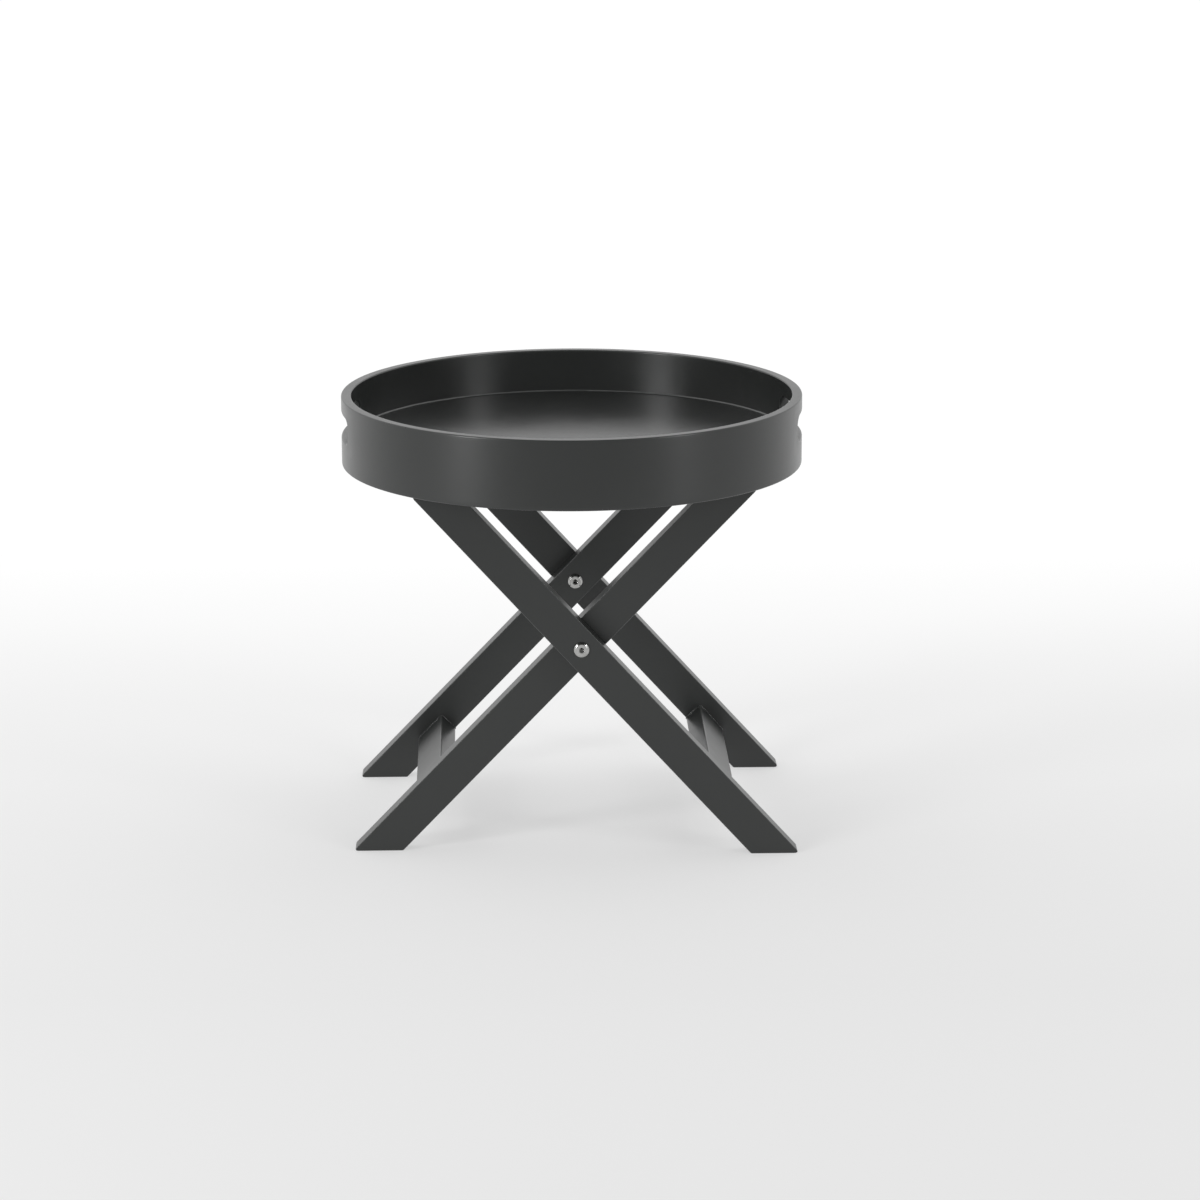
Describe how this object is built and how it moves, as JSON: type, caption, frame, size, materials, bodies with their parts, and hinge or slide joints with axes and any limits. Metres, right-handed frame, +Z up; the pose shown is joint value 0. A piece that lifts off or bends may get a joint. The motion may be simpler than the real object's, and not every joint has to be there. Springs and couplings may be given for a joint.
{
  "type": "folding tray table",
  "caption": "Round tray with an upright lip and a hand slot at either side, resting on a folding cross-legged stand whose frames pivot on bolts at mid-height.",
  "frame": {"origin": "on the floor, on the round tray's vertical axis, which is the middle of the bounding box's base", "axes": "+Z up along the tray's axis; X runs across the crossed legs, from one hand slot to the other; Y runs along the rails and the pivot axis; the outer frame's feet are at +X and the inner frame's at -X"},
  "size_m": [0.5, 0.5, 0.472],
  "materials": {
    "wall_paint": "satin charcoal paint over a bent-wood ring",
    "floor_paint": "satin charcoal paint over a board panel",
    "batten_paint": "satin charcoal paint",
    "leg_paint": "satin charcoal paint with eased edges",
    "rail_paint": "satin charcoal paint with eased edges",
    "dowel_wood": "bare beech",
    "screw_metal": "zinc plated",
    "pivot_metal": "bright nickel plate",
    "washer_plastic": "black nylon"
  },
  "bodies": {
    "outer_frame": {"outer_front_leg": "leg_paint", "outer_rear_leg": "leg_paint", "outer_bottom_rail": "rail_paint", "outer_top_rail": "rail_paint", "outer_bottom_front_dowel_1": "dowel_wood", "outer_bottom_front_dowel_2": "dowel_wood", "outer_bottom_rear_dowel_1": "dowel_wood", "outer_bottom_rear_dowel_2": "dowel_wood", "outer_top_front_dowel_1": "dowel_wood", "outer_top_front_dowel_2": "dowel_wood", "outer_top_rear_dowel_1": "dowel_wood", "outer_top_rear_dowel_2": "dowel_wood", "front_pivot_bolt": "pivot_metal", "front_pivot_nut": "pivot_metal", "front_pivot_washer": "washer_plastic", "rear_pivot_bolt": "pivot_metal", "rear_pivot_nut": "pivot_metal", "rear_pivot_washer": "washer_plastic"},
    "inner_frame": {"inner_front_leg": "leg_paint", "inner_rear_leg": "leg_paint", "inner_bottom_rail": "rail_paint", "inner_top_rail": "rail_paint", "inner_bottom_front_dowel_1": "dowel_wood", "inner_bottom_front_dowel_2": "dowel_wood", "inner_bottom_rear_dowel_1": "dowel_wood", "inner_bottom_rear_dowel_2": "dowel_wood", "inner_top_front_dowel_1": "dowel_wood", "inner_top_front_dowel_2": "dowel_wood", "inner_top_rear_dowel_1": "dowel_wood", "inner_top_rear_dowel_2": "dowel_wood"},
    "tray": {"tray_wall": "wall_paint", "tray_floor": "floor_paint", "outer_batten": "batten_paint", "inner_batten": "batten_paint", "outer_batten_screw_1": "screw_metal", "outer_batten_screw_2": "screw_metal", "outer_batten_screw_3": "screw_metal", "inner_batten_screw_1": "screw_metal", "inner_batten_screw_2": "screw_metal", "inner_batten_screw_3": "screw_metal"}
  },
  "joints": [
    {"name": "stand_fold", "type": "hinge", "parent": "outer_frame", "child": "inner_frame", "pos_m": [0.00584, 0, 0.2286], "axis": [0, -1, 0], "range_deg": [0, 75]},
    {"name": "tray_lift", "type": "slide", "parent": "outer_frame", "child": "tray", "axis": [0, 0, 1], "range_m": [0, 0.33]}
  ],
  "couplings": [
    {"joint": "tray_lift", "follows": "stand_fold", "m_per_rad": 0.25}
  ]
}
